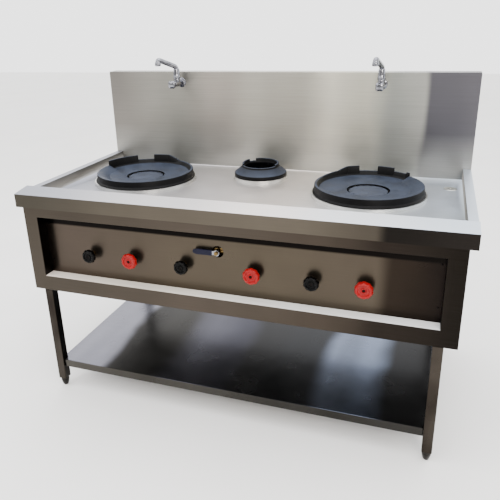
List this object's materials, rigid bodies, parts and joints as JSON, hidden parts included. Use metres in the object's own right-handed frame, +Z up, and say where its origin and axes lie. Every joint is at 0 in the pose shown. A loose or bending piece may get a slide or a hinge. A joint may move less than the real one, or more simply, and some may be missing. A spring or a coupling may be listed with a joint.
{
  "type": "gas wok range",
  "caption": "Free-standing stainless steel gas wok range with a sunk worktop, cast wok rings, stock-pot ring, recessed valve panel, tall splashback with swing taps and an undershelf.",
  "frame": {"origin": "middle of the footprint, on the floor", "axes": "+X to the right along the front, +Y to the back, +Z up; the valve panel faces -Y"},
  "size_m": [1.8, 0.9, 1.4308],
  "materials": {
    "steel": "brushed stainless steel sheet",
    "front_steel": "brushed stainless steel sheet, in shade",
    "cast_iron": "sand cast, satin black",
    "burner_iron": "sand cast, dull grey",
    "black_knob": "moulded, glossy",
    "red_knob": "moulded, glossy",
    "brass": "turned",
    "pipe": "galvanised pipe",
    "copper": "drawn tube",
    "chrome": "polished",
    "blue_sleeve": "dipped sleeve, satin"
  },
  "bodies": {
    "range_frame": {"worktop": "steel", "splashback": "steel", "splashback_cover": "steel", "side_panel_left": "steel", "side_panel_right": "steel", "back_panel": "steel", "base_tray": "steel", "undershelf": "steel", "shelf_stiffeners": "steel", "drain_fitting": "steel", "front_frame": "front_steel", "control_panel": "front_steel", "leg_front_left": "steel", "leg_front_right": "steel", "leg_rear_left": "steel", "leg_rear_right": "steel", "burner_well_left": "steel", "burner_well_centre": "steel", "burner_well_right": "steel", "burner_left": "burner_iron", "burner_centre": "burner_iron", "burner_right": "burner_iron", "gas_rail": "pipe", "water_inlet_pipe": "pipe", "water_riser": "pipe", "main_valves": "brass", "pilot_valves": "brass", "panel_nuts": "brass", "ball_valve_body": "brass", "gas_feeds": "copper", "pilot_tubes": "copper", "tap_body_left": "chrome", "tap_body_right": "chrome"},
    "main_control_left": {"main_knob_left": "black_knob", "main_spindle_left": "brass"},
    "main_control_centre": {"main_knob_centre": "black_knob", "main_spindle_centre": "brass"},
    "main_control_right": {"main_knob_right": "black_knob", "main_spindle_right": "brass"},
    "pilot_control_left": {"pilot_knob_left": "red_knob", "pilot_spindle_left": "brass"},
    "pilot_control_centre": {"pilot_knob_centre": "red_knob", "pilot_spindle_centre": "brass"},
    "pilot_control_right": {"pilot_knob_right": "red_knob", "pilot_spindle_right": "brass"},
    "water_lever": {"ball_valve_stem": "brass", "ball_valve_lever": "chrome", "lever_sleeve": "blue_sleeve"},
    "swing_spout_left": {"tap_spout_left": "chrome"},
    "swing_spout_right": {"tap_spout_right": "chrome"},
    "tap_control_left": {"tap_handle_left": "chrome"},
    "tap_control_right": {"tap_handle_right": "chrome"},
    "lift_off_ring_left": {"wok_ring_left": "cast_iron"},
    "lift_off_ring_centre": {"stock_pot_ring": "cast_iron"},
    "lift_off_ring_right": {"wok_ring_right": "cast_iron"},
    "levelling_foot_front_left": {"foot_front_left": "steel"},
    "levelling_foot_front_right": {"foot_front_right": "steel"},
    "levelling_foot_rear_left": {"foot_rear_left": "steel"},
    "levelling_foot_rear_right": {"foot_rear_right": "steel"}
  },
  "joints": [
    {"name": "main_control_left_turn", "type": "hinge", "parent": "range_frame", "child": "main_control_left", "pos_m": [-0.5915, -0.42, 0.676], "axis": [0, -1, 0], "range_deg": [0, 270]},
    {"name": "main_control_centre_turn", "type": "hinge", "parent": "range_frame", "child": "main_control_centre", "pos_m": [-0.17, -0.42, 0.676], "axis": [0, -1, 0], "range_deg": [0, 270]},
    {"name": "main_control_right_turn", "type": "hinge", "parent": "range_frame", "child": "main_control_right", "pos_m": [0.353, -0.42, 0.676], "axis": [0, -1, 0], "range_deg": [0, 270]},
    {"name": "pilot_control_left_turn", "type": "hinge", "parent": "range_frame", "child": "pilot_control_left", "pos_m": [-0.401, -0.42, 0.676], "axis": [0, -1, 0], "range_deg": [0, 270]},
    {"name": "pilot_control_centre_turn", "type": "hinge", "parent": "range_frame", "child": "pilot_control_centre", "pos_m": [0.122, -0.42, 0.676], "axis": [0, -1, 0], "range_deg": [0, 270]},
    {"name": "pilot_control_right_turn", "type": "hinge", "parent": "range_frame", "child": "pilot_control_right", "pos_m": [0.5435, -0.42, 0.676], "axis": [0, -1, 0], "range_deg": [0, 270]},
    {"name": "water_lever_turn", "type": "hinge", "parent": "range_frame", "child": "water_lever", "pos_m": [-0.022, -0.405, 0.7485], "axis": [0, -1, 0], "range_deg": [0, 90]},
    {"name": "swing_spout_left_turn", "type": "hinge", "parent": "range_frame", "child": "swing_spout_left", "pos_m": [-0.491, 0.331, 1.33], "axis": [0, 0, 1], "range_deg": [-64, 116]},
    {"name": "swing_spout_right_turn", "type": "hinge", "parent": "range_frame", "child": "swing_spout_right", "pos_m": [0.491, 0.331, 1.33], "axis": [0, 0, 1], "range_deg": [-81, 99]},
    {"name": "tap_control_left_turn", "type": "hinge", "parent": "range_frame", "child": "tap_control_left", "pos_m": [-0.491, 0.281, 1.303], "axis": [0, -1, 0], "range_deg": [0, 90]},
    {"name": "tap_control_right_turn", "type": "hinge", "parent": "range_frame", "child": "tap_control_right", "pos_m": [0.491, 0.281, 1.303], "axis": [0, -1, 0], "range_deg": [0, 90]},
    {"name": "lift_off_ring_left_lift", "type": "slide", "parent": "range_frame", "child": "lift_off_ring_left", "axis": [0, 0, 1], "range_m": [0, 0.15]},
    {"name": "lift_off_ring_centre_lift", "type": "slide", "parent": "range_frame", "child": "lift_off_ring_centre", "axis": [0, 0, 1], "range_m": [0, 0.15]},
    {"name": "lift_off_ring_right_lift", "type": "slide", "parent": "range_frame", "child": "lift_off_ring_right", "axis": [0, 0, 1], "range_m": [0, 0.15]},
    {"name": "levelling_foot_front_left_turn", "type": "hinge", "parent": "range_frame", "child": "levelling_foot_front_left", "pos_m": [-0.809, -0.423, 0.05], "axis": [0, 0, 1], "range_deg": [-180, 180]},
    {"name": "levelling_foot_front_right_turn", "type": "hinge", "parent": "range_frame", "child": "levelling_foot_front_right", "pos_m": [0.809, -0.423, 0.05], "axis": [0, 0, 1], "range_deg": [-180, 180]},
    {"name": "levelling_foot_rear_left_turn", "type": "hinge", "parent": "range_frame", "child": "levelling_foot_rear_left", "pos_m": [-0.809, 0.411, 0.05], "axis": [0, 0, 1], "range_deg": [-180, 180]},
    {"name": "levelling_foot_rear_right_turn", "type": "hinge", "parent": "range_frame", "child": "levelling_foot_rear_right", "pos_m": [0.809, 0.411, 0.05], "axis": [0, 0, 1], "range_deg": [-180, 180]}
  ]
}
